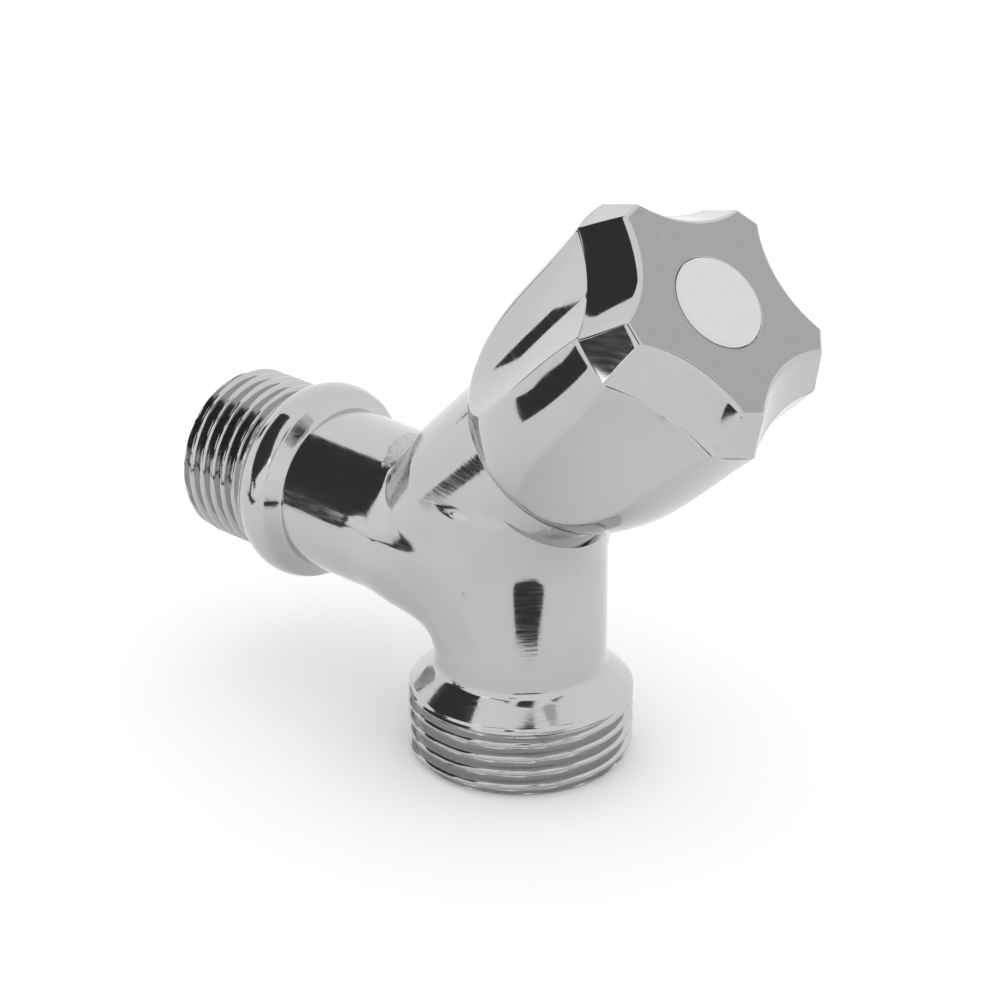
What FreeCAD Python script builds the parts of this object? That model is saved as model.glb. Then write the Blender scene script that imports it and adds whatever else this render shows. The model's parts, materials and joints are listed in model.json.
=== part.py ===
"""Hose tap (Y-pattern washing-machine valve): G1/2 inlet, G3/4 hose outlet, 45 degree headwork.

Row frame, in millimetres: +Z up, origin at the centre of the inlet's open end, +X along the inlet
towards the outlet, which points down. The headwork's axis leaves the inlet's axis at head_angle,
up and away from the wall. Heights named "..._height" are measured along that axis, from the point
where it crosses the inlet's axis. Turned pieces are drawn as half profiles (radius, height).
"""
import FreeCAD, Part
import math
import os
import Sketcher

Vector = FreeCAD.Vector
Rotation = FreeCAD.Rotation
FULL_TURN = 360
RIGHT_ANGLE = 90
FLANK = math.tan(math.radians(27.5))
OVERRUN = 0.1  # a thread's cutter past the crest
PAST = 1.0  # any other cutter past the face it goes through
EDGE_STEPS = ((1.0, 0.5), (0.3, 0.0), (0.0, -0.6))  # below the face and outward, in roundings

SIZES = {
    # pipe threads, ISO 228: G 1/2 at the inlet, G 3/4 at the outlet, G 3/8 on the headwork
    "inlet_thread_radius": 10.4775, "outlet_thread_radius": 13.2205, "pipe_pitch": 1.814,
    "head_thread_radius": 8.331, "head_pitch": 1.337, "thread_depth_ratio": 0.64,
    # cast body
    "inlet_length": 47.2, "inlet_thread_length": 10.9, "inlet_thread_runout": 0.6,
    "pipe_radius": 9.93, "collar_step": 0.3, "outlet_thread_runout": 0.9, "shoulder_step": 0.4,
    "collar_radius": 12.15, "collar_peak": 14.3, "collar_edge": 16.2, "collar_edge_radius": 11.7,
    "collar_end": 17.2, "collar_foot_radius": 10.2,
    "tube_radius": 10.04, "tube_top": 8.0, "outlet_end": 24.2, "shoulder_top": 12.6,
    "shoulder_radius": 12.8, "shoulder_foot": 15.2, "thread_chamfer": 1.0, "elbow_radius": 13.4,
    "elbow_relief": 0.05,
    "head_angle": 45.0, "head_setback": 11.5, "barrel_radius": 11.12, "barrel_height": 26.2,
    "barrel_foot_radius": 9.85, "barrel_taper_top": 10.0,
    # waterways
    "inlet_bore_radius": 6.75, "inlet_bore_length": 26.0, "inlet_way_radius": 6.5,
    "inlet_way_end": 37.7, "outlet_bore_radius": 7.5, "outlet_bore_length": 13.0,
    "outlet_way_radius": 7.25, "outlet_way_top": 6.0, "seat_height": 8.0,
    "seat_bore_radius": 5.25, "seat_bore_depth": 2.0, "seat_lip_radius": 6.4,
    "seat_lip_rise": 1.0, "seat_lip_slope": 0.3, "seat_wall_radius": 7.5,
    "seat_wall_depth": 14.0, "chamber_radius": 8.6, "chamber_top": 17.0,
    # headwork
    "seal_radius": 10.2, "seal_thickness": 1.3, "seal_clearance": 0.2, "hex_across": 19.0,
    "hex_height": 4.0, "hex_chamfer": 1.0, "edge_chamfer": 0.6,
    "head_thread_runout": 0.5, "head_thread_slack": 0.02,
    "sleeve_foot": 18.0, "guide_across": 11.2, "guide_top": 29.7, "neck_radius": 7.2,
    "neck_top": 39.5, "shoulder_bore_radius": 5.65, "shoulder_bore_top": 32.3,
    "stem_bore_radius": 4.0, "bore_overlap": 0.2,
    # spindle and its small pieces
    "running_gap": 0.05, "spindle_foot": 20.3, "lift_radius": 4.0, "lift_pitch": 2.0,
    "lift_depth": 0.75, "lift_relief": 1.3, "lift_thread_runout": 0.7, "lift_slack": 0.06,
    "spindle_shoulder_radius": 5.5, "spindle_shoulder_foot": 29.9,
    "thrust_thickness": 0.75, "thrust_inner_radius": 4.1, "stem_radius": 3.95,
    "o_ring_section": 0.65, "o_ring_middle": 3.3, "o_ring_low": 34.0, "o_ring_high": 37.0,
    "o_ring_floor_slack": 0.03, "o_ring_side_slack": 0.15,
    "clip_radius": 5.2, "clip_inner_radius": 3.2, "clip_thickness": 0.8, "clip_gap": 2.4,
    "spline_foot": 41.0, "spline_top": 47.0, "spline_radius": 3.9, "spline_depth": 0.35,
    "spline_half_width": 0.55, "spline_count": 20, "screw_hole_radius": 2.05,
    "screw_hole_foot": 39.6,
    # plunger and washer
    "plunger_foot": 11.5, "plunger_flange_radius": 7.1, "plunger_flange_thickness": 1.5,
    "plunger_across": 10.9, "plunger_top": 25.0, "plunger_bore_foot": 15.5,
    "plunger_relief": 2.6, "plunger_relief_radius": 4.2,
    "washer_radius": 6.9, "washer_hole_radius": 2.1, "disc_radius": 4.0, "disc_thickness": 0.8,
    "washer_screw_radius": 1.95, "washer_screw_tip": 14.4, "washer_screw_head_radius": 3.3,
    "washer_screw_head_height": 1.7, "washer_screw_spare": 0.3, "screw_slot_width": 0.9,
    "screw_slot_depth": 0.8, "screw_chamfer": 0.5,
    # handle
    "handle_turn": 16.0, "lobe_count": 5, "rim_height": 24.2, "rim_radius": 12.0,
    "belly_height": 36.1, "belly_radius": 15.15, "parting_height": 51.1, "lobe_radius": 16.2,
    "lobe_half_angle": 9.7, "valley_radius": 13.35, "face_height": 56.2,
    "face_lobe_radius": 13.5, "face_lobe_half_angle": 5.7, "face_valley_radius": 9.9,
    "face_rounding": 0.8, "flute_radius": 19.2, "flute_crest_radius": 13.45,
    "flute_bend_radius": 206.0, "flute_bend_height": 44.5, "flute_sweep": 14.0,
    "skirt_hollow_radius": 11.45, "skirt_web_foot": 47.3, "skirt_web_top": 49.6,
    "boss_radius": 6.5, "boss_foot": 41.2, "insert_radius": 5.0,
    "insert_top": 47.2, "screw_clearance_radius": 2.3, "recess_radius": 11.5,
    "cap_spigot_radius": 11.42, "cap_spigot_foot": 49.8, "cap_hollow_radius": 9.6,
    "cap_hollow_top": 54.2, "button_hole_radius": 5.5, "button_seat_height": 54.9,
    "button_seat_radius": 4.6, "button_radius": 5.42, "button_crown": 0.15,
    "button_bevel": 0.45, "button_leg_radius": 4.5, "button_leg_foot": 53.8,
    "button_leg_wall": 0.9, "button_recess": 0.3,
    "lock_washer_radius": 3.8, "lock_washer_thickness": 1.0, "lock_washer_gap": 0.8,
    "lock_washer_clearance": 0.1, "handle_screw_radius": 2.0, "handle_screw_tip": 40.2,
    "handle_screw_head_radius": 3.8, "handle_screw_head_height": 2.2,
    "handle_screw_chamfer": 0.8, "cross_recess_length": 4.6, "cross_recess_depth": 1.2,
}

doc = FreeCAD.newDocument("hose_tap")
sheet = doc.addObject("Spreadsheet::Sheet", "sizes")
for row, (alias, number) in enumerate(SIZES.items(), start=1):
    sheet.set(f"A{row}", alias)
    sheet.set(f"B{row}", str(number))
    sheet.setAlias(f"B{row}", alias)
doc.recompute()


class Size:
    """A number read from the sheet with the formula that gives it, for binding to a property."""

    def __init__(self, value, formula):
        self.value = value
        self.formula = formula

    def combine(self, other, sign, value):
        formula = other.formula if isinstance(other, Size) else repr(other)
        return Size(value, f"({self.formula} {sign} {formula})")

    def __add__(self, other):
        return self.combine(other, "+", self.value + plain(other))

    def __sub__(self, other):
        return self.combine(other, "-", self.value - plain(other))

    def __mul__(self, other):
        return self.combine(other, "*", self.value * plain(other))

    def __truediv__(self, other):
        return self.combine(other, "/", self.value / plain(other))


def plain(number):
    return number.value if isinstance(number, Size) else number


def size(alias):
    return Size(float(sheet.get(alias)), f"sizes.{alias}")


def bind(thing, name, number):
    """Set one property of an object and keep it tied to the sheet."""
    if isinstance(number, Size):
        thing.setExpression(name, number.formula)
    else:
        setattr(thing, name, number)


# ---------------------------------------------------------------- sketches

def draw(sketch, points):
    """Close an outline through (x, y) points; a point ("arc", x, y) bends its stretch through it."""
    corners = [point for point in points if point[0] != "arc"]
    edges = []
    for position, point in enumerate(points):
        if point[0] == "arc":
            continue
        following = points[(position + 1) % len(points)]
        bend = following[1:] if following[0] == "arc" else None
        edges.append((point, bend))
    flat = [Vector(plain(x), plain(y), 0) for x, y in corners]
    ends = []
    for index, (_, bend) in enumerate(edges):
        start, stop = flat[index], flat[(index + 1) % len(flat)]
        if bend is None:
            edge = sketch.addGeometry(Part.LineSegment(start, stop), False)
            ends.append((edge, 1, 2))
            continue
        middle = Vector(plain(bend[0]), plain(bend[1]), 0)
        edge = sketch.addGeometry(Part.Arc(start, middle, stop), False)
        turns_left = (middle - start).cross(stop - middle).z > 0
        ends.append((edge, 1, 2) if turns_left else (edge, 2, 1))
        through = sketch.addGeometry(Part.Point(middle), True)
        sketch.addConstraint(Sketcher.Constraint("PointOnObject", through, 1, edge))
        place(sketch, through, 1, bend)
    for index, corner in enumerate(corners):
        edge, begin, _ = ends[index]
        before, _, finish = ends[index - 1]
        sketch.addConstraint(Sketcher.Constraint("Coincident", before, finish, edge, begin))
        place(sketch, edge, begin, corner)


def place(sketch, edge, end, corner):
    """Pin a sketch point to its two coordinates, each one tied to the sheet."""
    for kind, number in zip(("DistanceX", "DistanceY"), corner):
        index = sketch.addConstraint(
            Sketcher.Constraint(kind, -1, 1, edge, end, float(plain(number))))
        if isinstance(number, Size):
            sketch.setExpression(f"Constraints[{index}]", number.formula)


def loose_sketch(name, points):
    """A sketch of its own in the XZ plane: x is the radius, y the height."""
    sketch = doc.addObject("Sketcher::SketchObject", name)
    sketch.Placement = FreeCAD.Placement(Vector(), Rotation(Vector(1, 0, 0), RIGHT_ANGLE))
    draw(sketch, points)
    return sketch


def origin_plane(body, role):
    return next(item for item in body.Origin.OriginFeatures if item.Role == role)


def body_sketch(body, name, role, points=None, height=None):
    sketch = body.newObject("Sketcher::SketchObject", name)
    sketch.AttachmentSupport = (origin_plane(body, role), [""])
    sketch.MapMode = "FlatFace"
    if height is not None:
        sketch.setExpression(".AttachmentOffset.Base.z", height.formula)
    if points:
        draw(sketch, points)
    return sketch


# ---------------------------------------------------------------- shape helpers

def turned_body(label, points):
    """A PartDesign body made on the lathe: its half profile revolved about the body's Z axis."""
    body = doc.addObject("PartDesign::Body", label)
    sketch = body_sketch(body, label + "_profile", "XZ_Plane", points)
    lathe = body.newObject("PartDesign::Revolution", label + "_turned")
    lathe.Profile = sketch
    lathe.ReferenceAxis = (sketch, ["V_Axis"])
    lathe.Angle = FULL_TURN
    body.Tip = lathe
    return body


def revolved(name, points):
    """A loose solid of revolution about Z, for use in booleans."""
    lathe = doc.addObject("Part::Revolution", name)
    lathe.Source = loose_sketch(name + "_profile", points)
    lathe.Axis = Vector(0, 0, 1)
    lathe.Angle = FULL_TURN
    lathe.Solid = True
    return lathe


def cylinder(name, radius, foot, top):
    """A cylinder along Z between two heights."""
    rod = doc.addObject("Part::Cylinder", name)
    bind(rod, "Radius", radius)
    bind(rod, "Height", top - foot)
    bind(rod, ".Placement.Base.z", foot)
    return rod


def hexagon(name, across, foot, top):
    """A six-sided prism along Z between two heights, given across its flats."""
    prism = doc.addObject("Part::Prism", name)
    prism.Polygon = 6
    bind(prism, "Circumradius", across / math.sqrt(3))
    bind(prism, "Height", top - foot)
    bind(prism, ".Placement.Base.z", foot)
    return prism


def fuse(name, pieces):
    union = doc.addObject("Part::MultiFuse", name)
    union.Shapes = pieces
    union.Refine = True
    return union


def cut(name, base, tools):
    """Take tools away from a base, one after the other."""
    for step, tool in enumerate(tools, start=1):
        taken = doc.addObject("Part::Cut", name if step == len(tools) else f"{name}_cut_{step}")
        taken.Base = base
        taken.Tool = tool
        base = taken
    return base


def common(name, one, other):
    both = doc.addObject("Part::Common", name)
    both.Base = one
    both.Tool = other
    return both




def thread_groove(name, crest, root, pitch, foot, top, slack=0.0, left_handed=False):
    """The helical groove of a 55 degree thread; an inside thread's slack widens its groove."""
    outward = 1 if crest.value > root.value else -1
    depth = (crest - root) * outward
    flat = pitch / 4 - depth * (FLANK / 2) + slack
    mouth = crest + OVERRUN * outward
    opening = flat + (depth + OVERRUN) * FLANK
    profile = loose_sketch(name + "_profile", [
        (mouth, opening * -1), (root, flat * -1), (root, flat), (mouth, opening)])
    helix = doc.addObject("Part::Helix", name + "_path")
    bind(helix, "Pitch", pitch)
    bind(helix, "Height", top - foot)
    bind(helix, "Radius", root)
    helix.LocalCoord = "Left-handed" if left_handed else "Right-handed"
    groove = doc.addObject("Part::Sweep", name)
    groove.Sections = [profile]
    groove.Spine = (helix, [])
    groove.Solid = True
    groove.Frenet = True
    bind(groove, ".Placement.Base.z", foot)
    return groove


def moved(name, pieces, frame):
    """Join pieces drawn along Z and lay them in one of the tap's frames."""
    group = doc.addObject("Part::Compound", name)
    group.Links = pieces
    group.Placement = frame
    return group


# ---------------------------------------------------------------- frames

ZERO = Size(0.0, "0")
tip_over = Vector(0, 1, 0)
inlet_frame = FreeCAD.Placement(Vector(), Rotation(tip_over, RIGHT_ANGLE))
outlet_frame = FreeCAD.Placement(
    Vector(size("inlet_length").value, 0, 0), Rotation(tip_over, RIGHT_ANGLE * 2))
outlet_mouth_frame = FreeCAD.Placement(
    Vector(size("inlet_length").value, 0, -size("outlet_end").value), Rotation())
head_frame = FreeCAD.Placement(
    Vector((size("inlet_length") - size("head_setback")).value, 0, 0),
    Rotation(tip_over, size("head_angle").value))
handle_frame = head_frame.multiply(
    FreeCAD.Placement(Vector(), Rotation(Vector(0, 0, 1), size("handle_turn").value)))


# ---------------------------------------------------------------- valve body

def make_inlet_branch():
    """Threaded stub, rounded collar with its bevelled back edge, and the pipe."""
    thread = size("inlet_thread_radius")
    chamfer = size("thread_chamfer")
    branch = revolved("inlet_branch", [
        (ZERO, ZERO), (thread - chamfer, ZERO), (thread, chamfer),
        (thread, size("inlet_thread_length")),
        ("arc", size("collar_radius"), size("collar_peak")),
        (size("collar_edge_radius"), size("collar_edge")),
        (size("collar_foot_radius"), size("collar_end")),
        (size("pipe_radius"), size("collar_end") + size("collar_step")),
        (size("pipe_radius"), size("inlet_length")), (ZERO, size("inlet_length"))])
    return moved("inlet_side", [branch], inlet_frame)


def make_outlet_branch():
    """Plain tube, conical shoulder and threaded end."""
    thread = size("outlet_thread_radius")
    end = size("outlet_end")
    chamfer = size("thread_chamfer")
    branch = revolved("outlet_branch", [
        (ZERO, size("tube_top") * -1), (size("tube_radius"), size("tube_top") * -1),
        (size("tube_radius"), size("shoulder_top")),
        (size("shoulder_radius"), size("shoulder_foot")),
        (thread, size("shoulder_foot") + size("shoulder_step")),
        (thread, end - chamfer), (thread - chamfer, end), (ZERO, end)])
    return moved("outlet_side", [branch], outlet_frame)


def make_elbow():
    """Rounded inner corner between the inlet pipe and the outlet tube."""
    elbow = doc.addObject("Part::Torus", "elbow")
    bind(elbow, "Radius1", size("elbow_radius"))
    bind(elbow, "Radius2", size("pipe_radius") - size("elbow_relief"))
    elbow.Angle3 = RIGHT_ANGLE
    corner = size("inlet_length") - size("elbow_radius")
    elbow.Placement = FreeCAD.Placement(
        Vector(corner.value, 0, -size("elbow_radius").value), Rotation(Vector(1, 0, 0), RIGHT_ANGLE))
    return elbow


def make_barrel():
    """The neck that takes the headwork, closed by a round bottom inside the casting."""
    bottom = doc.addObject("Part::Sphere", "barrel_bottom")
    bind(bottom, "Radius", size("barrel_foot_radius"))
    neck = revolved("barrel_neck", [
        (ZERO, ZERO), (size("barrel_foot_radius"), ZERO),
        (size("barrel_radius"), size("barrel_taper_top")),
        (size("barrel_radius"), size("barrel_height")), (ZERO, size("barrel_height"))])
    return moved("barrel", [fuse("barrel_whole", [bottom, neck])], head_frame)


def stepped_bore(name, radius, length, inner_radius, inner_end):
    """A bore from the open end, narrower by a small step beyond the given length."""
    return revolved(name, [
        (ZERO, ZERO - PAST), (radius, ZERO - PAST), (radius, length), (inner_radius, length),
        (inner_radius, inner_end), (ZERO, inner_end)])


def make_waterways():
    """Inlet bore to the seat, chamber and headwork thread above it, bore down to the outlet."""
    inlet_bore = stepped_bore("inlet_bore", size("inlet_bore_radius"), size("inlet_bore_length"),
                              size("inlet_way_radius"), size("inlet_way_end"))
    outlet_bore = stepped_bore(
        "outlet_bore", size("outlet_bore_radius"), size("outlet_bore_length"),
        size("outlet_way_radius"), size("outlet_end") + size("outlet_way_top"))
    seat_wall = cylinder("seat_wall", size("seat_wall_radius"), size("seat_wall_depth") * -1,
                         size("seat_height"))
    outlet_way = cut("outlet_way", moved("outlet_bore_placed", [outlet_bore], outlet_mouth_frame),
                     [moved("seat_wall_placed", [seat_wall], head_frame)])
    seat = size("seat_height")
    seat_foot = size("seat_bore_depth") * -1
    floor = seat - size("seat_lip_rise")
    thread_bore = size("head_thread_radius") - head_thread_depth() + size("running_gap")
    above = size("barrel_height") + PAST
    head_bore = revolved("head_bore", [
        (ZERO, seat_foot), (size("seat_bore_radius"), seat_foot),
        (size("seat_bore_radius"), seat), (size("seat_lip_radius"), seat),
        (size("seat_lip_radius") + size("seat_lip_slope"), floor),
        (size("chamber_radius"), floor), (size("chamber_radius"), size("chamber_top")),
        (thread_bore, size("chamber_top")), (thread_bore, above), (ZERO, above)])
    return [moved("inlet_bore_placed", [inlet_bore], inlet_frame), outlet_way,
            moved("head_bore_placed", [head_bore], head_frame)]


def head_thread_depth():
    return size("head_pitch") * size("thread_depth_ratio")


def make_body_threads():
    """Outside threads of the two ends and the inside thread that takes the headwork."""
    pitch = size("pipe_pitch")
    depth = pitch * size("thread_depth_ratio")
    gap = size("running_gap")
    inlet_major = size("inlet_thread_radius")
    outlet_major = size("outlet_thread_radius")
    inlet = thread_groove("inlet_thread", inlet_major, inlet_major - depth, pitch,
                          pitch * -1, size("inlet_thread_length") - size("inlet_thread_runout"))
    outlet = thread_groove(
        "outlet_thread", outlet_major, outlet_major - depth, pitch, pitch * -1,
        size("outlet_end") - size("shoulder_foot") - size("outlet_thread_runout"))
    major = size("head_thread_radius")
    head_pitch = size("head_pitch")
    head = thread_groove("head_thread_inside", major - head_thread_depth() + gap, major + gap,
                         head_pitch, size("sleeve_foot") - head_pitch / 2,
                         size("barrel_height") + head_pitch, slack=size("head_thread_slack"))
    return [moved("inlet_thread_placed", [inlet], inlet_frame),
            moved("outlet_thread_placed", [outlet], outlet_mouth_frame),
            moved("head_thread_placed", [head], head_frame)]


def make_valve_body():
    casting = fuse("casting", [
        make_inlet_branch(), make_outlet_branch(), make_elbow(), make_barrel()])
    return cut("valve_body", casting, make_body_threads() + make_waterways())


# ---------------------------------------------------------------- headwork

def flange_foot():
    return size("barrel_height") + size("seal_thickness")


def make_headwork_body():
    """Threaded sleeve with a hexagonal guide, hexagonal flange, and neck round the stem."""
    foot = size("sleeve_foot")
    flange_top = flange_foot() + size("hex_height")
    thread = size("head_thread_radius")
    root = thread - head_thread_depth()
    pitch = size("head_pitch")
    corner = size("hex_across") / math.sqrt(3)
    edge = size("edge_chamfer")
    flange = common(
        "head_flange", hexagon("head_hexagon", size("hex_across"), flange_foot(), flange_top),
        revolved("head_hexagon_rounding", [
            (ZERO, flange_foot()), (corner - size("hex_chamfer"), flange_foot()),
            (corner, flange_foot() + edge), (corner, flange_top - edge),
            (corner - size("hex_chamfer"), flange_top), (ZERO, flange_top)]))
    neck_top = size("neck_top")
    neck = size("neck_radius")
    overlap = size("bore_overlap")
    neck_rod = revolved("head_neck", [
        (ZERO, flange_foot()), (neck, flange_foot()), (neck, neck_top - edge),
        (neck - edge, neck_top), (ZERO, neck_top)])
    groove = thread_groove("head_thread_outside", thread, root, pitch, foot - pitch,
                           flange_foot() - size("head_thread_runout"))
    sleeve = cut("head_sleeve", cylinder("head_sleeve_rod", thread, foot,
                                         flange_foot() + overlap), [groove])
    guide = hexagon("plunger_guide", size("guide_across"), foot - PAST, size("guide_top"))
    shoulder_bore = cylinder("shoulder_bore", size("shoulder_bore_radius"),
                             size("guide_top") - overlap, size("shoulder_bore_top"))
    stem_bore = cylinder("stem_bore", size("stem_bore_radius"),
                         size("shoulder_bore_top") - overlap, neck_top + PAST)
    return cut("headwork_body", fuse("headwork_solid", [flange, sleeve, neck_rod]),
               [guide, shoulder_bore, stem_bore])


def ring(label, inner, outer, foot, top):
    return turned_body(label, [(inner, foot), (outer, foot), (outer, top), (inner, top)])


def make_headwork_seal():
    return ring("headwork_seal", size("head_thread_radius") + size("seal_clearance"),
                size("seal_radius"), size("barrel_height"), flange_foot())


def make_thrust_washer():
    top = size("shoulder_bore_top") - size("running_gap")
    return ring("thrust_washer", size("thrust_inner_radius"), size("spindle_shoulder_radius"),
                top - size("thrust_thickness"), top)


def spline_rod(name, radius, foot, top):
    """A rod with V-shaped splines all round."""
    body = doc.addObject("PartDesign::Body", name)
    circle = body_sketch(body, name + "_circle", "XY_Plane", height=foot)
    circle.addGeometry(Part.Circle(Vector(), Vector(0, 0, 1), radius.value), False)
    circle.addConstraint(Sketcher.Constraint("Coincident", 0, 3, -1, 1))
    circle.addConstraint(Sketcher.Constraint("Radius", 0, radius.value))
    circle.setExpression("Constraints[1]", radius.formula)
    rod = body.newObject("PartDesign::Pad", name + "_rod")
    rod.Profile = circle
    bind(rod, "Length", top - foot)
    half_width = size("spline_half_width")
    outside = radius + size("spline_depth")
    notch = body_sketch(body, name + "_notch", "XY_Plane", [
        (radius - size("spline_depth"), ZERO), (outside, half_width * -1),
        (outside, half_width)], height=foot)
    groove = body.newObject("PartDesign::Pocket", name + "_groove")
    groove.Profile = notch
    groove.Reversed = True
    bind(groove, "Length", top - foot)
    body.Tip = groove
    return around(body, groove, size("spline_count"))


def around(body, feature, count):
    """Repeat a feature evenly about the body's Z axis."""
    pattern = body.newObject("PartDesign::PolarPattern", feature.Name + "_pattern")
    pattern.Originals = [feature]
    pattern.Axis = (origin_plane(body, "Z_Axis"), [""])
    pattern.Angle = FULL_TURN
    pattern.Occurrences = int(count.value)
    body.Tip = pattern
    return body


def make_spindle():
    """Lifting thread, shoulder, stem with two O-ring grooves, clip groove and splined end."""
    gap = size("running_gap")
    stem = size("stem_radius")
    crest = size("lift_radius")
    root = crest - size("lift_depth")
    foot = size("spindle_foot")
    shoulder = size("spindle_shoulder_radius")
    shoulder_foot = size("spindle_shoulder_foot")
    shoulder_top = size("shoulder_bore_top") - size("thrust_thickness") - gap * 2
    half_groove = size("o_ring_section") + size("o_ring_side_slack")
    floor = size("o_ring_middle") - size("o_ring_section") - size("o_ring_floor_slack")
    clip_foot = size("neck_top") + gap
    clip_top = clip_foot + size("clip_thickness") + gap
    grooves = []
    for middle in (size("o_ring_low"), size("o_ring_high")):
        grooves += [(stem, middle - half_groove), (floor, middle - half_groove),
                    (floor, middle + half_groove), (stem, middle + half_groove)]
    relief_foot = shoulder_foot - size("lift_relief")
    shaft = revolved("spindle_shaft", [
        (ZERO, foot), (root, foot), (crest, foot + size("edge_chamfer")), (crest, relief_foot),
        (root - gap, relief_foot), (root - gap, shoulder_foot),
        (shoulder, shoulder_foot), (shoulder, shoulder_top), (stem, shoulder_top)]
        + grooves + [
        (stem, clip_foot), (size("clip_inner_radius"), clip_foot),
        (size("clip_inner_radius"), clip_top), (stem, clip_top),
        (stem, size("spline_foot")), (ZERO, size("spline_foot"))])
    splines = spline_rod("spindle_splines", size("spline_radius"), size("spline_foot"),
                         size("spline_top"))
    thread = thread_groove(
        "spindle_thread", crest, root, size("lift_pitch"), foot - size("lift_pitch"),
        shoulder_foot - size("lift_thread_runout"), left_handed=True)
    screw_hole = cylinder("spindle_screw_hole", size("screw_hole_radius"),
                          size("screw_hole_foot"), size("spline_top") + PAST)
    return cut("spindle", fuse("spindle_solid", [shaft, splines]), [thread, screw_hole])


def make_o_ring(label, middle):
    o_ring = doc.addObject("Part::Torus", label)
    bind(o_ring, "Radius1", size("o_ring_middle"))
    bind(o_ring, "Radius2", size("o_ring_section"))
    return moved_up(o_ring, middle)


def moved_up(piece, height):
    lifted = head_frame.multiply(FreeCAD.Placement(Vector(0, 0, height.value), Rotation()))
    piece.Placement = lifted
    return piece


def split_ring(label, inner, outer, foot, thickness, opening):
    """A flat ring with a gap in it, such as a circlip or a spring washer."""
    whole = cut(label + "_whole", cylinder(label + "_disc", outer, foot, foot + thickness),
                [cylinder(label + "_hole", inner, foot - PAST, foot + thickness + PAST)])
    gap = doc.addObject("Part::Box", label + "_gap")
    bind(gap, "Length", outer * 2)
    bind(gap, "Width", opening)
    bind(gap, "Height", thickness + PAST * 2)
    gap.setExpression(".Placement.Base.y", (opening / -2).formula)
    gap.setExpression(".Placement.Base.z", (foot - PAST).formula)
    return cut(label, whole, [gap])


def make_spindle_clip():
    gap = size("running_gap")
    return split_ring("spindle_clip", size("clip_inner_radius") + gap, size("clip_radius"),
                      size("neck_top") + gap + gap / 2, size("clip_thickness"),
                      size("clip_gap"))


# ---------------------------------------------------------------- plunger

def make_plunger():
    """Hexagonal nut that cannot turn in the headwork, with the washer's flange below."""
    foot = size("plunger_foot")
    flange_top = foot + size("plunger_flange_thickness")
    top = size("plunger_top")
    gap = size("running_gap")
    nut = hexagon("plunger_nut", size("plunger_across"), foot, top)
    flange = cylinder("plunger_flange", size("plunger_flange_radius"), foot, flange_top)
    crest = size("lift_radius") - size("lift_depth") + gap
    root = size("lift_radius") + gap
    pitch = size("lift_pitch")
    bore_foot = size("plunger_bore_foot")
    relief = size("plunger_relief_radius")
    relief_top = bore_foot + size("plunger_relief")
    above = top + PAST
    bore = revolved("plunger_bore", [
        (ZERO, bore_foot), (relief, bore_foot), (relief, relief_top), (crest, relief_top),
        (crest, above), (ZERO, above)])
    thread = thread_groove("plunger_thread", crest, root, pitch,
                           size("spindle_foot") - pitch - pitch / 2, top + pitch / 2,
                           slack=size("lift_slack"), left_handed=True)
    screw_hole = cylinder("plunger_screw_hole", size("washer_screw_radius") + gap, foot - PAST,
                          size("washer_screw_tip") + size("washer_screw_spare"))
    return cut("plunger", fuse("plunger_solid", [nut, flange]), [thread, bore, screw_hole])


def washer_foot():
    return size("seat_height") + size("running_gap")


def make_seat_washer():
    return ring("seat_washer", size("washer_hole_radius"), size("washer_radius"),
                washer_foot(), size("plunger_foot"))


def make_washer_disc():
    return ring("washer_disc", size("washer_hole_radius"), size("disc_radius"),
                washer_foot() - size("disc_thickness"), washer_foot())


def slot(name, width, length, foot, top):
    """A screwdriver slot across the axis."""
    box = doc.addObject("Part::Box", name)
    bind(box, "Length", length)
    bind(box, "Width", width)
    bind(box, "Height", top - foot)
    box.setExpression(".Placement.Base.x", (length / -2).formula)
    box.setExpression(".Placement.Base.y", (width / -2).formula)
    box.setExpression(".Placement.Base.z", foot.formula)
    return box


def make_washer_screw():
    head_top = washer_foot() - size("disc_thickness")
    head_foot = head_top - size("washer_screw_head_height")
    head = size("washer_screw_head_radius")
    shank = size("washer_screw_radius")
    tip = size("washer_screw_tip")
    edge = size("screw_chamfer")
    screw = revolved("washer_screw_solid", [
        (ZERO, head_foot), (head - edge, head_foot), (head, head_foot + edge), (head, head_top),
        (shank, head_top), (shank, tip - edge), (shank - edge, tip), (ZERO, tip)])
    return cut("washer_screw", screw, [
        slot("washer_screw_slot", size("screw_slot_width"), (head + PAST) * 2,
             head_foot - PAST, head_foot + size("screw_slot_depth"))])


# ---------------------------------------------------------------- handle

def polar(radius, angle, offset=None):
    """A point at an angle in degrees, less or more an angle kept in the sheet."""
    degrees = Size(float(angle), repr(float(angle)))
    if offset is not None:
        degrees = degrees + offset
    turn = math.radians(degrees.value)
    return (Size(radius.value * math.cos(turn), f"({radius.formula} * cos({degrees.formula}))"),
            Size(radius.value * math.sin(turn), f"({radius.formula} * sin({degrees.formula}))"))


def star_points(lobe_radius, half_angle, valley_radius):
    """Outline of the hand wheel: flat lobes joined by hollow arcs, one hollow towards +X."""
    count = int(size("lobe_count").value)
    step = 360 / count
    points = []
    for lobe in range(count):
        middle = step * (lobe + 0.5)
        hollow_x, hollow_y = polar(valley_radius, step * (lobe + 1))
        points += [polar(lobe_radius, middle, half_angle * -1),
                   polar(lobe_radius, middle, half_angle), ("arc", hollow_x, hollow_y)]
    return points


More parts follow.
